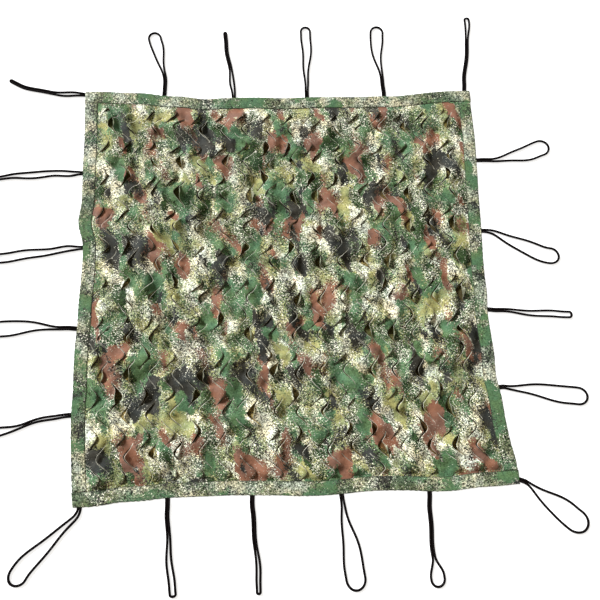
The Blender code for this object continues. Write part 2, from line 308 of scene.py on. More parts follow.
def thicken(piece, thickness, offset):
    """Gives a sheet its thickness: offset is 1 for upward and 0 for half to each side."""
    solidify = piece.modifiers.new("Thickness", "SOLIDIFY")
    solidify.thickness = thickness
    solidify.offset = offset
    solidify.use_even_offset = False
    return solidify


def stands_for(piece, slot, *nodes):
    """Attaches a piece to the root body and hides the solids that it stands for. slot is not used."""
    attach(piece, "root")
    if nodes:
        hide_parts(*nodes)


def grid_faces(rows, columns):
    """Quads over a grid of points, row after row."""
    first = (np.arange(rows - 1)[:, None] * columns + np.arange(columns - 1)).ravel()
    return np.stack([first, first + 1, first + columns + 1, first + columns], axis=1).tolist()


def tube_faces(first, rings, sides):
    """A tube's skin and its two ends, over rings of points from the first point on."""
    faces = []
    for ring in range(rings - 1):
        a, b = first + ring * sides, first + (ring + 1) * sides
        for side in range(sides):
            after = (side + 1) % sides
            faces.append((a + side, b + side, b + after, a + after))
    last = first + rings * sides - 1
    return [*faces, tuple(range(first, first + sides)), tuple(range(last, last - sides, -1))]


# ---- materials


class Graph:
    """A material's nodes, with short calls for the few kinds used here."""

    def __init__(self, name, roughness):
        self.material = bpy.data.materials.new(name)
        self.material.use_nodes = True
        self.tree = self.material.node_tree
        self.shader = self.tree.nodes["Principled BSDF"]
        self.shader.inputs["Roughness"].default_value = roughness
        self.shader.inputs["Specular IOR Level"].default_value = 0.25

    def put(self, socket, value):
        if isinstance(value, bpy.types.NodeSocket):
            self.tree.links.new(value, socket)
        elif value is not None:
            socket.default_value = value

    def node(self, kind, inputs=(), **settings):
        made = self.tree.nodes.new(kind)
        for key, value in settings.items():
            setattr(made, key, value)
        for key, value in dict(inputs).items():
            self.put(made.inputs[key], value)
        return made

    def attribute(self, name, output="Vector"):
        return self.node("ShaderNodeAttribute", attribute_name=name).outputs[output]

    def sum(self, operation, a, b=None, c=None):
        inputs = {key: value for key, value in enumerate((a, b, c)) if value is not None}
        return self.node("ShaderNodeMath", inputs, operation=operation).outputs[0]

    def vector(self, operation, a, b=None, scale=None):
        inputs = {key: value for key, value in ((0, a), (1, b), ("Scale", scale)) if value is not None}
        return self.node("ShaderNodeVectorMath", inputs, operation=operation).outputs[0]

    def split(self, vector):
        return self.node("ShaderNodeSeparateXYZ", {0: vector}).outputs

    def moved(self, vector, place=(0, 0, 0), turn=0.0, scale=(1, 1, 1)):
        inputs = {"Vector": vector, "Location": place, "Rotation": (0, 0, turn), "Scale": scale}
        return self.node("ShaderNodeMapping", inputs).outputs[0]

    def noise(self, vector, scale, detail=2.0, roughness=0.5, distortion=0.0, output=0):
        inputs = {"Vector": vector, "Scale": scale, "Detail": detail, "Roughness": roughness}
        inputs["Distortion"] = distortion
        return self.node("ShaderNodeTexNoise", inputs).outputs[output]

    def ramp(self, value, low, high, to_low=0.0, to_high=1.0):
        """A smooth step of value from low to high."""
        inputs = {0: value, 1: low, 2: high, 3: to_low, 4: to_high}
        return self.node("ShaderNodeMapRange", inputs, interpolation_type="SMOOTHSTEP").outputs[0]

    def mix(self, factor, a, b, blend="MIX"):
        made = self.node("ShaderNodeMix", data_type="RGBA", blend_type=blend)
        self.put(made.inputs[0], factor)
        for socket, value in ((made.inputs[6], a), (made.inputs[7], b)):
            self.put(socket, (*value, 1.0) if isinstance(value, tuple) else value)
        return made.outputs[2]

    def bump(self, height, distance, strength=1.0, normal=None):
        inputs = {"Height": height, "Distance": distance, "Strength": strength}
        if normal is not None:
            inputs["Normal"] = normal
        return self.node("ShaderNodeBump", inputs).outputs[0]

    def finish(self, colour, normal=None):
        self.put(self.shader.inputs["Base Color"], (*colour, 1.0) if isinstance(colour, tuple) else colour)
        self.put(self.shader.inputs["Normal"], normal)
        return self.material


# The print's colours (linear), from the ground up
LEAF = (0.098, 0.150, 0.068)
PALE_OLIVE = (0.440, 0.445, 0.235)
CREAM = (0.880, 0.855, 0.685)
OLIVE = (0.400, 0.405, 0.175)
GREEN = (0.110, 0.208, 0.100)
DARK_GREEN = (0.034, 0.070, 0.022)
BROWN = (0.278, 0.132, 0.088)
CHARCOAL = (0.043, 0.043, 0.037)
PEPPER = (0.009, 0.012, 0.005)
DULL_GREEN = (0.110, 0.145, 0.080)
GREY_GREEN = (0.275, 0.300, 0.200)
PALE_GREY = (0.550, 0.540, 0.415)

# The ground's tones: colour, and the value of the ground's noise from which it shows
GROUND = ((LEAF, 0.0), (PALE_OLIVE, 0.446), (CREAM, 0.526))
BINDING_GROUND = ((DULL_GREEN, 0.0), (GREY_GREEN, 0.420), (PALE_GREY, 0.530))
# Each layer over the ground: colour, where its noise starts, its patches across and along to the metre, the
# value of the noise from which it shows, how far the grain breaks up its border, and how free of specks its
# middle stays
LAYER_COLUMNS = ("colour", "seed", "across", "along", "from_value", "dissolve", "clear")
LAYERS = (
    (OLIVE, 11.3, 12.0, 6.5, 0.560, 0.40, 0.8),
    (GREEN, 23.9, 11.5, 6.0, 0.520, 0.50, 0.7),
    (DARK_GREEN, 37.1, 14.0, 7.0, 0.590, 0.60, 0.3),
    (BROWN, 51.7, 12.0, 6.0, 0.590, 0.26, 1.0),
    (CHARCOAL, 64.3, 13.5, 5.6, 0.592, 0.34, 0.8),
)
BINDING_LAYERS = (
    (GREEN, 23.9, 8.0, 8.0, 0.540, 0.35, 0.8),
    (CHARCOAL, 64.3, 11.0, 11.0, 0.630, 0.80, 0.1),
)
# Strewn in clusters: colour, where its noise starts, the grain from which it shows, at most and at least
SPECK_COLUMNS = ("colour", "seed", "at_most", "at_least")
SPECKS = ((CREAM, 71.9, 0.643, 0.537), (PEPPER, 83.3, 0.665, 0.570))
BINDING_SPECKS = ((CREAM, 71.9, 0.690, 0.590), (DARK_GREEN, 83.3, 0.660, 0.570))

# The two prints. dither: how far the grain breaks up the ground's tones. grain: its noise cells to the metre.
FIELD_PRINT = {"ground": GROUND, "layers": LAYERS, "specks": SPECKS, "dither": 0.50, "grain": 195.0}
BINDING_PRINT = {
    "ground": BINDING_GROUND,
    "layers": BINDING_LAYERS,
    "specks": BINDING_SPECKS,
    "dither": 0.80,
    "grain": 160.0,
}
HALF_STEP = 0.004  # of a noise's value, to each side of where a colour gives way to the next
PATCH_SLANT = -0.25  # of all patches, in radians
RAGGED = {"scale": 26.0, "detail": 4.0, "roughness": 0.66}  # the noise that makes their outlines ragged
RAGGED_BY = 0.050
GROUND_STRETCH = (11, 6, 1)  # patches to the metre, across and along
ZONE_STRETCH = (6.5, 2.6, 1)  # the same for large zones of paler and darker ground
ZONE_SHARE = 0.45
CLUSTER_STRETCH = (12, 7, 1)  # and for the clusters of specks
CLUSTER_FROM, CLUSTER_TO = 0.46, 0.60
SPECK_HALF_STEP = 0.006
SPECKS_KEPT_OFF = 0.15  # how much more grain a speck needs in a patch's clear middle
CRUMBLING = (0.35, 1.70)  # how much the borders break up, at least and at most
COOL_TINT = (0.86, 0.95, 0.98)
WARM_TINT = (1.10, 1.02, 0.87)
SHADE_IN_MIDDLES = 0.6  # how much the grain shades a patch's clear middle
SHADE_OUTSIDE = 4.6  # and how much more all else


def printed(graph, place, design=FIELD_PRINT):
    """The colour of the woodland print at a place on the flat cloth."""
    grains = []
    for shift in (0.0, 3.1):
        grain = graph.noise(graph.moved(place, (shift, shift, 0.0)), design["grain"], 1.0, 1.0, output=1)
        grains.extend(graph.split(grain))
    ragged = graph.vector("SUBTRACT", graph.noise(place, **RAGGED, output=1), (0.5, 0.5, 0.5))
    warped = graph.vector("ADD", place, graph.vector("SCALE", ragged, scale=RAGGED_BY))
    warped = graph.moved(warped, turn=PATCH_SLANT)
    ground = graph.noise(graph.moved(warped, (6.6, 2.3, 0.0), 0.0, GROUND_STRETCH), 1.0, 2.0)
    zone = graph.noise(graph.moved(warped, (2.1, 9.4, 0.0), 0.0, ZONE_STRETCH), 1.0, 1.0)
    ground = graph.sum("MULTIPLY_ADD", graph.sum("SUBTRACT", zone, 0.5), ZONE_SHARE, ground)
    crumbling = graph.ramp(graph.noise(place, 9.0, 1.0), 0.42, 0.60, *CRUMBLING)
    colour = design["ground"][0][0]
    for (tone, start), grain in zip(design["ground"][1:], grains):
        dithered = graph.sum("MULTIPLY_ADD", graph.sum("SUBTRACT", grain, 0.5), design["dither"], ground)
        colour = graph.mix(graph.ramp(dithered, start - HALF_STEP, start + HALF_STEP), colour, tone)
    middles = 0.0
    for row in design["layers"]:
        layer = dict(zip(LAYER_COLUMNS, row))
        seed, start = layer["seed"], layer["from_value"]
        stretch = (layer["across"], layer["along"], 1)
        patch = graph.noise(graph.moved(warped, (seed, seed * 0.7, 0), 0.0, stretch), 1.0, 1.5)
        crumbled = graph.sum("MULTIPLY", crumbling, layer["dissolve"])
        value = graph.sum("MULTIPLY_ADD", graph.sum("SUBTRACT", grains[1], 0.5), crumbled, patch)
        mask = graph.ramp(value, start - HALF_STEP, start + HALF_STEP)
        colour = graph.mix(mask, colour, layer["colour"])
        middle_share = graph.ramp(patch, start - 0.010, start + 0.040, 0.0, layer["clear"])
        middles = graph.sum("MULTIPLY_ADD", mask, graph.sum("SUBTRACT", middle_share, middles), middles)
    tone = graph.noise(graph.moved(place, (5.5, 5.5, 0.0)), 17.0, 2.0)
    tint = graph.mix(graph.ramp(tone, 0.35, 0.65), COOL_TINT, WARM_TINT)
    colour = graph.mix(1.0, colour, tint, "MULTIPLY")
    for row, grain in zip(design["specks"], grains[2:]):
        speck = dict(zip(SPECK_COLUMNS, row))
        spots = graph.moved(warped, (speck["seed"] * 0.3, 7.7, 0.0), 0.0, CLUSTER_STRETCH)
        cluster = graph.noise(spots, 1.0, 1.5)
        start = graph.ramp(cluster, CLUSTER_FROM, CLUSTER_TO, speck["at_most"], speck["at_least"])
        start = graph.sum("MULTIPLY_ADD", middles, SPECKS_KEPT_OFF, start)
        over = graph.sum("SUBTRACT", grain, start)
        colour = graph.mix(graph.ramp(over, -SPECK_HALF_STEP, SPECK_HALF_STEP), colour, speck["colour"])
    outside = graph.sum("SUBTRACT", 1.0, middles)
    unsettled = graph.sum("MULTIPLY_ADD", outside, SHADE_OUTSIDE, SHADE_IN_MIDDLES)
    shade = graph.sum("MULTIPLY_ADD", graph.sum("SUBTRACT", grains[4], 0.5), unsettled, 1.0)
    return graph.vector("SCALE", colour, scale=shade)


def weave(graph, place, threads=900.0, depth=0.00012):
    """A plain weave's relief, so many threads to the metre, with soft wrinkles under it."""
    across, along, _ = graph.split(graph.vector("SCALE", place, scale=threads * 2 * math.pi))
    warp = graph.sum("SINE", across)
    weft = graph.sum("SINE", along)
    wrinkles = graph.noise(place, 45.0, 2.0)
    soft = graph.bump(wrinkles, 0.004, 0.5)
    return graph.bump(graph.sum("MULTIPLY", warp, weft), depth, 0.4, soft)


FRAYED_AND_HIGHLIGHT = (0.74, 0.71, 0.58)  # the yarn without dye at a cut's edge, and a painted highlight along that edge
CUT_EDGE = (0.62, 0.60, 0.50)  # and across the cloth's thickness
REVERSE = (0.30, 0.30, 0.20)
# The backing's brown dye together with painted warm shade.
BACKING_DYE_AND_SHADE = (0.66, 0.52, 0.26)
BACKING_GROUND = (0.130, 0.096, 0.034)
SEAM_SHADOW = (0.020, 0.024, 0.014)
THREAD_COLOUR = (0.020, 0.022, 0.012)


def field_materials():
    """The printed face, its paler reverse and the cuts' edges."""
    front = Graph("field_print", 0.72)
    place = front.attribute("flat")
    colour = printed(front, place)
    # A pale line along each cut's edge: the frayed yarn there, and a painted highlight where the edge catches
    # the light.
    rim = front.ramp(front.attribute("edge", "Fac"), 0.0005, 0.0013, 1.0, 0.0)
    patchy = front.ramp(front.noise(place, 30.0, 1.0), 0.35, 0.65, 0.30, 1.0)
    colour = front.mix(front.sum("MULTIPLY", rim, patchy), colour, FRAYED_AND_HIGHLIGHT)
    front_material = front.finish(colour, weave(front, place))
    reverse = Graph("field_reverse", 0.8)
    place = reverse.attribute("flat")
    colour = reverse.mix(0.62, printed(reverse, place), REVERSE)
    reverse_material = reverse.finish(colour, weave(reverse, place))
    edge = Graph("field_cut_edge", 0.8)
    edge_material = edge.finish(CUT_EDGE)
    return front_material, reverse_material, edge_material


def backing_material():
    """The print of the cloth above, at the same places, browned and darkened on a coarser weave: a brown dye,
    painted warm shade, and the painted colour of light that comes through the cloth above.
    """
    graph = Graph("backing_cloth", 0.8)
    place = graph.attribute("flat")
    # The cloth above's print at the same places, browned and darkened: painted warm shade and the painted
    # colour of light coming through that cloth.
    dyed_and_shaded = graph.mix(1.0, printed(graph, place), BACKING_DYE_AND_SHADE, "MULTIPLY")
    colour = graph.mix(0.40, dyed_and_shaded, BACKING_GROUND)
    return graph.finish(colour, weave(graph, place, 700.0))


def binding_material():
    """The greyer print, dark in specks along the fold, with a painted shadow where it meets the cloth."""
    graph = Graph("binding_print", 0.72)
    place = graph.attribute("flat")
    colour = printed(graph, graph.moved(place, (4.1, 2.7, 0.0)), BINDING_PRINT)
    inset = graph.attribute("inset", "Fac")
    patchy = graph.noise(graph.moved(place, (8.8, 0.0, 0.0)), 190.0, 1.0)
    fold = graph.sum("MULTIPLY", graph.ramp(inset, 0.0015, 0.0045, 1.0, 0.0), graph.ramp(patchy, 0.46, 0.56))
    colour = graph.mix(graph.sum("MULTIPLY", fold, 0.8), colour, PEPPER)
    # A painted shadow along the inner edge, where the binding meets the cloth.
    seam_shadow_mask = graph.ramp(inset, BINDING_WIDTH - 0.0022, BINDING_WIDTH - 0.0010, 0.0, 0.85)
    colour = graph.mix(seam_shadow_mask, colour, SEAM_SHADOW)
    return graph.finish(colour, weave(graph, place))


def cord_material():
    """Black braid: two sets of strands that cross at a slant."""
    graph = Graph("cord_braid", 0.7)
    graph.shader.inputs["Specular IOR Level"].default_value = 0.06
    cosine, sine, along = graph.split(graph.attribute("braid"))
    turn = graph.sum("ARCTAN2", sine, cosine)
    lift = graph.sum("MULTIPLY", along, 2 * math.pi / BRAID_LAY)
    one = graph.sum("SINE", graph.sum("MULTIPLY_ADD", turn, BRAID_STRANDS, lift))
    two = graph.sum("SINE", graph.sum("SUBTRACT", lift, graph.sum("MULTIPLY", turn, BRAID_STRANDS)))
    height = graph.sum("MAXIMUM", one, two)
    tone = graph.noise(graph.node("ShaderNodeTexCoord").outputs["Object"], 60.0, 2.0)
    colour = graph.mix(tone, (0.002, 0.001, 0.001), (0.010, 0.007, 0.007))
    return graph.finish(colour, graph.bump(height, 0.0004, 0.7))


# ---- camera and cords


def add_camera():
    lens = bpy.data.cameras.new("view")
    lens.sensor_width = CAMERA_SENSOR
    lens.lens = CAMERA_LENS
    camera = bpy.data.objects.new("view", lens)
    camera.location = CAMERA_PLACE
    pan, tilt, roll = (
        Euler(angles).to_matrix() for angles in ((0, 0, CAMERA_PAN), (CAMERA_TILT, 0, 0), (0, 0, CAMERA_ROLL))
    )
    camera.rotation_euler = (pan @ tilt @ roll).to_euler()
    bpy.context.scene.collection.objects.link(camera)
    bpy.context.scene.camera = camera


def loop_route(loop, number):
    """The middle of a loop's cord, from one strand's exit round to the other's: out and aside, in metres."""
    tip = Vector((loop["out"], loop["aside"])) * MM
    heading = math.radians(loop["heading"])
    reach = tip.length
    hold = tip - TIP_HOLD * reach * Vector((math.cos(heading), math.sin(heading)))
    lead = Vector((loop["lead"] * MM, 0))
    closing = 1 - max(TIP_CLOSING * loop["tip"] * MM, TIP_ROUND) / reach
    places = [(step / STRAND_POINTS * closing, 1.0) for step in range(STRAND_POINTS)]
    for step in range(END_POINTS):
        turn = step / END_POINTS * math.pi / 2
        places.append((closing + (1 - closing) * math.sin(turn), math.cos(turn)))
    one, other = [], []
    for t, narrowing in places:
        centre = 3 * (1 - t) ** 2 * t * lead + 3 * (1 - t) * t**2 * hold + t**3 * tip
        ahead = (1 - t) ** 2 * lead + 2 * (1 - t) * t * (hold - lead) + t**2 * (tip - hold)
        aside = Vector((-ahead.y, ahead.x)).normalized()
        held = float(eased(t / WAVE_FADE) * eased((1 - t) / WAVE_FADE))
        centre += aside * WAVER * held * math.sin(math.tau * (WAVES * t + WAVE_SHIFT * number))
        widest = between(loop["eye"], loop["tip"], float(eased((t / closing - 0.5) / 0.5)))
        apart = widest * float(eased((t - loop["neck"]) / (closing - loop["neck"]) * WIDENING))
        apart += loop["slit"] * math.sin(math.pi * min(t / SLIT_SHARE, 1.0)) ** 2
        offset = (STRAND_PITCH + apart * MM) / 2 * narrowing
        one.append(centre + aside * offset)
        other.append(centre - aside * offset)
    return np.array([*one, tip, *reversed(other)])


def loop_points(loop, number):
    """The same in the frame, evenly spaced, and its length."""
    quarters = list(EDGES).index(loop["edge"])
    start, ahead = strip_places(quarters, [loop["along"] * MM, loop["along"] * MM + 0.001], 0.0)
    along = (ahead - start) / np.linalg.norm(ahead - start)
    outward = np.array((along[1], -along[0]))
    route = loop_route(loop, number)
    flat = start + outward * (route[:, :1] + GAP) + along * route[:, 1:]
    steps = np.linalg.norm(np.diff(flat, axis=0), axis=1)
    travelled = np.concatenate([[0.0], np.cumsum(steps)])
    places = np.linspace(0.0, travelled[-1], int(travelled[-1] / CORD_STEP) + 1)
    x, y = (np.interp(places, travelled, flat[:, axis]) for axis in (0, 1))
    return np.stack([x, y, np.full_like(x, CORD / 2)], axis=1), float(travelled[-1])


def add_cord(loop, number, material):
    """A loop's braid, whose two ends are pressed flat and go a little way into the binding's fold."""
    points, length = loop_points(loop, number)
    ahead = np.gradient(points, axis=0)
    ahead /= np.linalg.norm(ahead, axis=1)[:, None]
    seats = (points[0] - ahead[0] * CORD_SEATED, points[-1] + ahead[-1] * CORD_SEATED)
    middle_line = np.vstack([seats[0], points, seats[1]])
    ahead = np.vstack([ahead[0], ahead, ahead[-1]])
    to_end = np.minimum(np.arange(len(middle_line)), np.arange(len(middle_line))[::-1]) * CORD_STEP
    flatness = between(CORD_PRESSED, 1.0, eased(to_end / CORD_RISING))
    aside = np.stack([-ahead[:, 1], ahead[:, 0], np.zeros(len(ahead))], axis=1)
    turns = np.linspace(0, 2 * math.pi, CORD_SIDES, endpoint=False)
    ring = aside[:, None, :] * np.cos(turns)[None, :, None]
    ring[..., 2] += np.sin(turns) * flatness[:, None]
    rings = middle_line[:, None, :] + ring * BRAID / 2
    rings[..., 2] += (flatness[:, None] - 1) * CORD / 2
    faces = tube_faces(0, len(middle_line), CORD_SIDES)
    travelled = np.arange(len(middle_line)) * CORD_STEP
    braid = np.stack(np.broadcast_arrays(np.cos(turns), np.sin(turns), travelled[:, None]), axis=2)
    name = "cord_" + loop["name"]
    piece = add_mesh(
        name + "_braid", rings.reshape(-1, 3), faces, [material], [("braid", braid.reshape(-1, 3))]
    )
    stands_for(piece, "cord", name)
    tuple(float(x) for x in points[0])


# ---- the leaf-cut cloth


def puff(u, v):
    """How far the cut cloth stands off the backing."""
    bump = 0.5 + 0.9 * bumps(u, v, PUFF_SIZE, 3.7)
    room = HALF - FREE_INSET - np.maximum(np.abs(u), np.abs(v))
    return PUFF * eased(bump) * eased(room / PUFF_FADE)


CLOSED_UP_TO = 0.68  # the share of the solids' cuts that lie nearly closed, as all do outside their lattice
RAISED_UP_TO = 0.86  # from there to here they stand up, and past it they curl back
SUNK = 0.25  # the share of the closed ones whose tongue lies below the cloth outside
RIM_WIDTH = 0.028  # of the cloth outside a cut that is lifted or lowered


def cut_of(column, row, points_right):
    """One leaf cut: its apex, its way, and how its tongue lies. Lengths are in metres and angles in degrees.

    gap: how wide the cut is at its apex. peak: how high the tongue stands. droop: how far past its top it has
    come at its end, in half turns of a sine. curl: how far round its end is turned, and end: over which last
    stretch. tilt: how far the fold runs off the cut's axis. rim: how far the cloth outside is lifted. over:
    how far the tongue's point has slid outward over that cloth.
    """
    seed = 7 if points_right else 0
    u = -((CUT_COLUMNS - 1) * CUT_PITCH_U + CUT_ARM_U) / 2 + column * CUT_PITCH_U
    v = (row - (CUT_ROWS - 1) / 2) * CUT_PITCH_V
    if points_right:
        u += CUT_PITCH_U / 2 + CUT_PITCH_V / 2 * CUT_ARM_U / CUT_ARM_V
        v += CUT_PITCH_V / 2
    u += between(-CUT_SHIFT, CUT_SHIFT, spread(seed + 1, column, row))
    v += between(-CUT_SHIFT, CUT_SHIFT, spread(seed + 2, column, row))
    chance, size, tall, lean, kink, side = (spread(seed + k, column, row) for k in (3, 4, 5, 8, 9, 10))
    in_solid = 0 <= row < CUT_ROWS - points_right and 0 <= column < CUT_COLUMNS - points_right
    cut = {"apex": (u, v), "inward": -1 if points_right else 1, "curl": 0.0, "end": 0.012, "over": 0.0}
    if chance <= CLOSED_UP_TO or not in_solid:
        cut.update(gap=between(1.2, 3.0, size) * MM, droop=between(1.05, 1.5, kink))
        if side > SUNK:
            tallest = 12.0 if points_right else 18.0
            cut.update(peak=between(5.0, tallest, tall) * MM, rim=between(-4.0, -1.0, size) * MM)
            cut.update(over=between(1.0, 8.0, tall) * MM)
        else:
            cut.update(peak=between(-5.0, 3.0, tall) * MM, rim=between(3.0, 9.0, size) * MM)
        cut.update(tilt=between(-28, 28, lean))
    elif chance <= RAISED_UP_TO:
        cut.update(gap=between(2.5, 4.5, size) * MM, peak=between(9, 17, tall) * MM, rim=-2.0 * MM)
        cut.update(droop=between(0.8, 1.2, kink), curl=between(0, 50, side), tilt=between(-28, 28, lean))
    else:
        cut.update(gap=between(4.0, 7.0, size) * MM, peak=between(5, 12, tall) * MM, rim=-1.0 * MM)
        cut.update(droop=0.8, tilt=between(-20, 20, lean))
        cut.update(curl=between(95, 165, kink), end=between(0.018, 0.024, side))
    return cut


def all_cuts():
    """The solids' cuts, and the slits that carry the lattice on to the binding."""
    for row in range(CUT_ROWS):
        for column in range(CUT_COLUMNS):
            yield cut_of(column, row, False)
    for row in range(-1, CUT_ROWS):
        for column in range(-1, CUT_COLUMNS - 1):
            yield cut_of(column, row, True)


def arm(y):
    """How far a cut's arm has come inward from its apex, at a height y above or below it.

    Half of it is the solids' straight arm with a round apex, and half is an S, as the threads draw it.
    """
    share = np.minimum(np.abs(y) / CUT_ARM_V, 1.0)
    straight = (np.hypot(share, CUT_ROUND) - CUT_ROUND) / (math.hypot(1, CUT_ROUND) - CUT_ROUND)
    return CUT_ARM_U * (0.5 * straight + 0.25 * (1 - np.cos(np.pi * share)))


def tongue_side(cut, y):
    """The same for the tongue's edge, across the gap."""
    return arm(y) + cut["gap"] * np.maximum(1 - (y / CUT_ARM_V) ** 2, 0.0) ** 0.75


def along_cut():
    """Heights along a cut, closer together near its apex."""
    share = np.linspace(-1, 1, 2 * CUT_STEPS + 1)
    return CUT_ARM_V * np.sign(share) * np.abs(share) ** 1.15


def beside(x, y, distance):
    """Points beside a line, at a distance to its left."""
    ahead = np.stack([np.gradient(x), np.gradient(y)], axis=1)
    ahead /= np.linalg.norm(ahead, axis=1)[:, None]
    return x - ahead[:, 1] * distance, y + ahead[:, 0] * distance


def cloth_points(cuts):
    """The flat mesh's points and edges: round each cut, along the hems, and evenly between."""
    points, edges, near_cut = [], [], []
    y = along_cut()
    for cut in cuts:
        apex, inward = np.array(cut["apex"]), cut["inward"]
        outer, inner = np.stack([arm(y), y], axis=1), np.stack([tongue_side(cut, y), y], axis=1)
        loop = np.vstack([outer, inner[-2:0:-1]])
        first = len(points)
        points.extend(apex + loop * (inward, 1))
        edges.extend((first + k, first + (k + 1) % len(loop)) for k in range(len(loop)))
        near_cut.extend([0.0] * len(loop))
        rings = (
            (outer, 0.0035, slice(1, -1)),
            (inner, -0.0035, slice(2, -2)),
            (inner, -0.0100, slice(4, -4, 2)),
            (inner, -0.0180, slice(5, -5, 2)),
        )
        for line, distance, kept in rings:
            ring = np.stack(beside(line[:, 0], line[:, 1], distance), axis=1)[kept]
            points.extend(apex + ring * (inward, 1))
            near_cut.extend([abs(distance)] * len(ring))
    for inset in (HEM_INSET, FREE_INSET):
        count = int((SIDE - 2 * inset) / CLOTH_STEP)
        for quarters in range(4):
            along = (-1 + 2 * np.arange(count) / count) * (HALF - inset)
            points.extend(np.stack(turned(quarters, along, np.full(count, -HALF + inset)), axis=1))
            near_cut.extend([1.0] * count)
    points = np.array(points)
    tree = KDTree(len(points))
    for index, (u, v) in enumerate(points):
        tree.insert((u, v, 0), index)
    tree.balance()
    room = HALF - FREE_INSET - CLOTH_STEP / 2
    rows = int(2 * room / (CLOTH_STEP * ROW_SHARE)) + 1
    columns = int(2 * room / CLOTH_STEP) + 1
    filling, distances = [], []
    for row in range(rows):
        for column in range(columns):
            u = -room + (column + 0.5 * (row % 2)) * CLOTH_STEP
            v = -room + row * CLOTH_STEP * ROW_SHARE
            distance = tree.find((u, v, 0))[2]
            if u < room and v < room and distance > CROWDED * CLOTH_STEP:
                filling.append((u, v))
                distances.append(distance)
    return np.vstack([points, filling]), edges, np.array(near_cut + distances)


def inside_gaps(cuts, centres):
    """Which faces lie in a cut's gap."""
    found = np.zeros(len(centres), bool)
    for cut in cuts:
        x = (centres[:, 0] - cut["apex"][0]) * cut["inward"]
        y = centres[:, 1] - cut["apex"][1]
        near = np.flatnonzero((np.abs(y) < CUT_ARM_V) & (x > 0) & (x < CUT_ARM_U + 0.01))
        found[near] |= (x[near] > gap_line(y[near], False, cut)) & (x[near] < gap_line(y[near], True, cut))
    return found


def gap_line(y, tongue, cut):
    """A cut's side as its straight mesh edges run."""
    stations = along_cut()
    line = tongue_side(cut, stations) if tongue else arm(stations)
    return np.interp(y, stations, line)


def bend_tongue(cut, u, v, height, ground):
    """Raises and curls a cut's tongue and moves the cloth outside it, by changing u, v and height."""
    x, y = (u - cut["apex"][0]) * cut["inward"], v - cut["apex"][1]
    near = np.flatnonzero((np.abs(y) < CUT_ARM_V) & (x > -0.03) & (x < CUT_ARM_U))
    x, y = x[near], y[near]
    tongue = x >= gap_line(y, True, cut) - 1e-6
    tilt = math.radians(cut["tilt"])
    fold = CUT_ARM_U - CUT_ARM_V * math.tan(abs(tilt))
    ahead = np.array((-math.cos(tilt), math.sin(tilt)))
    reach = np.maximum((x - fold) * ahead[0] + y * ahead[1], 0.0) * tongue
    longest = max(reach.max(), 0.012)
    fade = float(eased((HALF - FREE_INSET - max(abs(cut["apex"][0]), abs(cut["apex"][1]))) / 0.05 + 0.35))
    sweep = math.pi * cut["droop"]
    top = 2.0 if cut["droop"] > 1 else 1 - math.cos(sweep)
    slope = cut["peak"] * fade * sweep / longest / top
    curl = math.radians(cut["curl"]) * fade / cut["end"]
    grid = np.linspace(0, longest, 60)
    angle = slope * np.sin(sweep * grid / longest) + curl * np.maximum(grid - (longest - cut["end"]), 0.0)
    step = grid[1]
    run = np.concatenate([[0], np.cumsum((np.cos(angle[1:]) + np.cos(angle[:-1])) / 2 * step)])
    climb = np.concatenate([[0], np.cumsum((np.sin(angle[1:]) + np.sin(angle[:-1])) / 2 * step)])
    moved = np.interp(reach, grid, run) - reach + cut["over"] * fade * (reach / longest) ** 1.5
    u[near] += ahead[0] * moved * cut["inward"]
    v[near] += ahead[1] * moved
    raised = np.interp(reach, grid, climb)
    outside = np.maximum(arm(y) - x, 0.0) * ~tongue
    rim = cut["rim"] * fade * (1 - eased(outside / RIM_WIDTH)) * (1 - (y / CUT_ARM_V) ** 2) * ~tongue
    height[near] = np.maximum(height[near] + raised + rim, ground)


def add_field():
    """The leaf-cut cloth: meshed flat round its cuts, then raised, bent and laid out."""
    cuts = list(all_cuts())
    points, edges, near_cut = cloth_points(cuts)
    result = delaunay_2d_cdt([Vector(p) for p in points], edges, [], 0, 1e-7)
    made = np.array([tuple(p) for p in result[0]])
    faces = np.array(result[2])
    origin = np.array([first[0] if first else -1 for first in result[3]])
    edge = np.where(origin >= 0, near_cut[origin], 0.0)
    faces = faces[~inside_gaps(cuts, made[faces].mean(axis=1))]
    used = np.unique(faces)
    renumber = np.full(len(made), -1)
    renumber[used] = np.arange(len(used))
    faces, flat, edge = renumber[faces], made[used], edge[used]
    u, v = flat[:, 0].copy(), flat[:, 1].copy()
    from_binding = HALF - FREE_INSET - np.maximum(np.abs(u), np.abs(v))
    room = eased(from_binding / SWELL_FADE)
    swell = SWELL + SWELLS * bumps(u + 0.3 * v, v * 0.7, SWELLS_SIZE, 8.2)
    swell += CREASES * bumps(u, v, CREASES_SIZE, 2.9)
    height = FIELD_Z + puff(u, v) + room * swell
    height = np.maximum(height, FIELD_Z)
    for cut in cuts:
        bend_tongue(cut, u, v, height, FIELD_Z - LOWEST)
    height -= PRESSED * np.maximum(height - TALLEST, 0.0)
    held = 1 - eased((from_binding - HELD_FLAT) / HELD_FADE)
    u, v = u + (flat[:, 0] - u) * held, v + (flat[:, 1] - v) * held
    height += (FIELD_Z - height) * held
    rumple = RUMPLE * eased(from_binding / RUMPLE_FADE)
    u = u + rumple * bumps(*flat.T, RUMPLE_SIZE, 31.0)
    v = v + rumple * bumps(*flat.T, RUMPLE_SIZE, 41.0)
    places = np.column_stack([lay(u, v), height])
    attributes = [("flat", np.column_stack([flat, np.zeros(len(flat))])), ("edge", np.minimum(edge, 0.02))]
    field = add_mesh("field_cloth", places, faces.tolist(), field_materials(), attributes)
    solid = thicken(field, FIELD_CLOTH, 1)
    solid.material_offset = 1
    solid.material_offset_rim = 2
    stands_for(field, "field", "field")
    return field


# ---- backing, binding and stitches


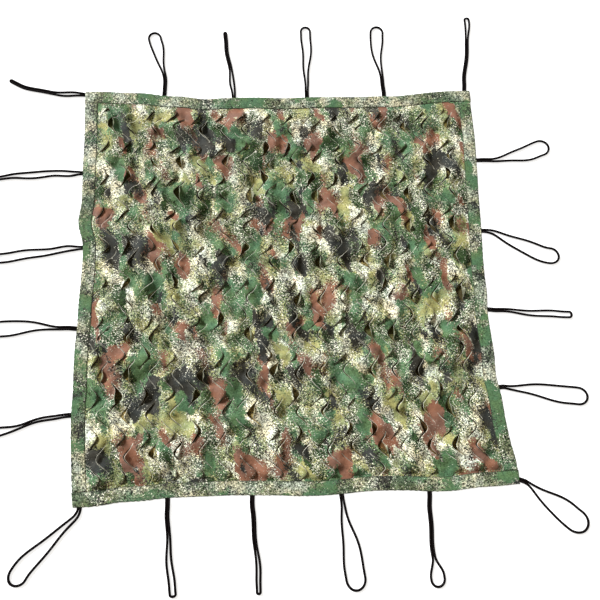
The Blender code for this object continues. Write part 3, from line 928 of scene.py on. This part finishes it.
def add_backing():
    """The closed cloth, which lies on the floor and comes up into the binding round its edges."""
    reach = HALF - FREE_INSET - BACKING_RISE
    inner = np.linspace(-reach, reach, BACKING_POINTS)
    outer = np.array([HALF - FREE_INSET, HALF - 0.03, HALF - HEM_INSET])
    line = np.concatenate([-outer[::-1], inner, outer])
    v, u = np.meshgrid(line, line, indexing="ij")
    u, v = u.ravel(), v.ravel()
    inset = HALF - np.maximum(np.abs(u), np.abs(v))
    held = 1 - eased((inset - FREE_INSET) / BACKING_RISE)
    height = BACKING_Z * held + (1 - held) * (0.0002 + 0.0002 * bumps(u, v, 0.07, 1.3))
    places = np.column_stack([lay(u, v), height])
    flat = np.column_stack([u, v, np.zeros(len(u))])
    faces = grid_faces(len(line), len(line))
    backing = add_mesh("backing_cloth", places, faces, [backing_material()], [("flat", flat)])
    thicken(backing, BACKING_CLOTH, 1)
    stands_for(backing, "backing", "backing")
    return backing


def binding_section():
    """The middle of the folded strip's cloth, as (inset, z), from its edge underneath to the one on top."""
    low, high = BINDING_CLOTH / 2 + 0.00003, 0.0043
    radius = (high - low) / 2
    turns = np.linspace(-math.pi / 2, math.pi / 2, 7)
    section = [(BINDING_WIDTH, low), (0.030, low), (0.010, low)]
    section += [
        (radius + BINDING_CLOTH / 2 - radius * math.cos(t), low + radius * (1 + math.sin(t))) for t in turns
    ]
    section += [(inset, high) for inset in (0.006, 0.012, 0.020, 0.028, 0.036, 0.042)]
    return section + [(0.046, 0.00405), (0.0488, 0.0038), (BINDING_WIDTH, 0.0036)]


def binding_relief(quarters, along, inset):
    """How far the top of a binding stands up in ripples and puckers."""
    across = inset / BINDING_WIDTH
    ripple = RIPPLE * bumps(along, inset * 0.4, RIPPLE_SIZE, 5.0 + quarters)
    ripple = ripple * np.sin(np.pi * np.clip(across, 0, 1))
    pucker = PUCKER * bumps(along, inset * 0.15, PUCKER_SIZE, 15.0 + quarters)
    pucker = pucker * np.exp(-(((across - PUCKER_PLACE) / PUCKER_SPREAD) ** 2))
    return np.maximum(ripple + 0.0004 * np.sin(np.pi * across), -0.0002) + pucker


def add_binding(quarters, name, material):
    """One folded strip: the near and far ones run right across, and the side ones butt against them."""
    half_length = HALF if quarters % 2 == 0 else BUTTED - 0.0010
    along = np.linspace(-half_length, half_length, int(2 * half_length / BINDING_STEP))
    section = np.array(binding_section())
    rows, columns = len(along), len(section)
    place = np.repeat(along, columns)
    inset, height = np.tile(section[:, 0], rows), np.tile(section[:, 1], rows)
    top = eased((height - 0.0030) / 0.0010)
    wander = FOLD_WANDER * (1 + bumps(place, place * 0, PUCKER_SIZE, 25.0 + quarters))
    wander = wander * eased(1 - inset / FOLD_WIDTH)
    height = height + top * binding_relief(quarters, place, inset)
    places = lay(*turned(quarters, place, -HALF + inset + wander))
    u, v = turned(quarters, place, -HALF + inset)
    under = np.tile(np.arange(columns) < 6, rows) * 0.11  # so the print underneath is another stretch of it
    flat = np.column_stack([u, v + under, np.zeros(len(u))])
    points = np.column_stack([places, height])
    faces = grid_faces(rows, columns)
    attributes = [("flat", flat), ("inset", inset)]
    binding = add_mesh("binding_" + name + "_cloth", points, faces, [material], attributes)
    thicken(binding, BINDING_CLOTH, 0)
    stands_for(binding, "binding", "binding_" + name)
    return binding


def add_stitches():
    """One row of thread along each binding's inner edge, each stitch a bead that sinks in at its ends."""
    shape = ((-0.5, 0.25, -0.0004), (-0.35, 1.0, 0.0), (0.35, 1.0, 0.0), (0.5, 0.25, -0.0004))
    turns = np.linspace(0, 2 * math.pi, THREAD_SIDES, endpoint=False)
    points, faces = [], []
    for quarters in range(4):
        half_length = HALF - (0.004 if quarters % 2 == 0 else BINDING_WIDTH + 0.004)
        count = int(2 * half_length / STITCH_PITCH)
        middles = (np.arange(count) + 0.5) / count * 2 * half_length - half_length
        inset = np.full(count, STITCH_INSET)
        tops = STITCH_HEIGHT + BINDING_CLOTH / 2 + binding_relief(quarters, middles, inset)
        starts, ends = (lay(*turned(quarters, middles + step, -HALF + inset)) for step in (0.0, 0.001))
        ahead = (ends - starts) / np.linalg.norm(ends - starts, axis=1)[:, None]
        for place, way, top in zip(starts, ahead, tops):
            first = len(points)
            for share, wide, sink in shape:
                x, y = place + way * share * STITCH_LENGTH
                for turn in turns:
                    side = math.cos(turn) * THREAD * wide
                    z = top + sink + math.sin(turn) * THREAD * wide
                    points.append((x - way[1] * side, y + way[0] * side, z))
            faces.extend(tube_faces(first, len(shape), THREAD_SIDES))
    stitches = add_mesh("stitching", points, faces, [Graph("thread", 0.6).finish(THREAD_COLOUR)])
    stands_for(stitches, "binding")
    return stitches


# ---- floor and light


FLOOR_HALF = 30.0
FLOOR_Z = -0.0004
FLOOR_PAPER = (0.88, 0.88, 0.88)
FLOOR_GLOW = 0.75  # so that the paper shows white
SUN_TOWARD = (-0.66, 0.66, 0.60)
SUN_STRENGTH = 4.8
SUN_COLOUR = (0.97, 1.0, 1.04)
SUN_WIDTH = 15  # in degrees
FILL_COLOUR = (1.0, 0.90, 0.74, 1)
FILL_STRENGTH = 0.22
BACKDROP = (0.86, 0.86, 0.86, 1)  # seen past the floor


def add_floor():
    corners = [(x * FLOOR_HALF, y * FLOOR_HALF, 0) for x, y in ((-1, -1), (1, -1), (1, 1), (-1, 1))]
    graph = Graph("floor_paper", 0.9)
    graph.shader.inputs["Emission Color"].default_value = (1, 1, 1, 1)
    graph.shader.inputs["Emission Strength"].default_value = FLOOR_GLOW
    floor = add_mesh("floor", corners, [(0, 1, 2, 3)], [graph.finish(FLOOR_PAPER)])
    floor.location.z = FLOOR_Z


def add_light():
    """A wide sun from the far left, a weak warm fill, and a pale backdrop that only the camera sees."""
    sun = bpy.data.lights.new("sun", "SUN")
    sun.energy = SUN_STRENGTH
    sun.color = SUN_COLOUR
    sun.angle = math.radians(SUN_WIDTH)
    lamp = bpy.data.objects.new("sun", sun)
    lamp.rotation_euler = Vector(SUN_TOWARD).to_track_quat("Z", "Y").to_euler()
    bpy.context.scene.collection.objects.link(lamp)
    world = bpy.data.worlds.new("studio")
    world.use_nodes = True
    nodes = world.node_tree.nodes
    links = world.node_tree.links
    fill = nodes["Background"]
    fill.inputs["Color"].default_value = FILL_COLOUR
    fill.inputs["Strength"].default_value = FILL_STRENGTH
    backdrop = nodes.new("ShaderNodeBackground")
    backdrop.inputs["Color"].default_value = BACKDROP
    rays = nodes.new("ShaderNodeLightPath")
    either = nodes.new("ShaderNodeMixShader")
    links.new(rays.outputs["Is Camera Ray"], either.inputs["Fac"])
    links.new(fill.outputs["Background"], either.inputs[1])
    links.new(backdrop.outputs["Background"], either.inputs[2])
    links.new(either.outputs["Shader"], nodes["World Output"].inputs["Surface"])
    bpy.context.scene.world = world
    bpy.context.scene.view_settings.view_transform = "Standard"


add_camera()
cord_finish = cord_material()
for loop_number, loop_row in enumerate(LOOPS):
    add_cord(dict(zip(LOOP_COLUMNS, loop_row)), loop_number, cord_finish)
add_floor()
add_light()
backing_piece = add_backing()
field_piece = add_field()
binding_finish = binding_material()
binding_pieces = [add_binding(q, edge, binding_finish) for q, edge in enumerate(EDGES)]
stitch_piece = add_stitches()
